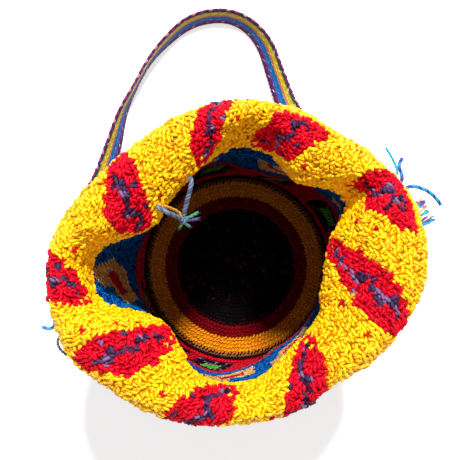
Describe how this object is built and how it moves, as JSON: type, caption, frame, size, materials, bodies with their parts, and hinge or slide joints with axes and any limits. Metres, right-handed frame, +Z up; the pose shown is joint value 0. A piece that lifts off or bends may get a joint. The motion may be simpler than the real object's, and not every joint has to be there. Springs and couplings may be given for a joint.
{
  "type": "wayuu mochila bag",
  "caption": "Round crocheted bag standing open, with its rim rolled outwards, a woven shoulder strap lying behind it and a yarn tie inside the mouth.",
  "frame": {"origin": "middle of the underside of the flat base, on the surface that the bag stands on", "axes": "+Z up out of the mouth, +Y towards the side where the strap lies on the floor, +X to the side of the fringe seam"},
  "size_m": [0.319, 0.379, 0.2495],
  "materials": {
    "crocheted_cotton": "matt tapestry crochet in yellow, red, purple, blue, tan, green and black yarns",
    "woven_strap_cotton": "matt warp-faced weave striped lengthwise in magenta, blue, orange, yellow and green",
    "tie_yarn": "matt plied yarn",
    "lashing_yarn": "matt plied yarn"
  },
  "bodies": {
    "root": {"bag_body": "crocheted_cotton", "shoulder_strap": "woven_strap_cotton", "tie_yarn_long": "tie_yarn", "tie_yarn_short": "tie_yarn", "tie_knot": "tie_yarn", "lashing_tail_right_twisted": "lashing_yarn", "lashing_tail_right_thin": "lashing_yarn", "lashing_tail_right_split": "lashing_yarn", "lashing_tail_left_twisted": "lashing_yarn", "lashing_tail_left_short": "lashing_yarn"}
  },
  "joints": []
}
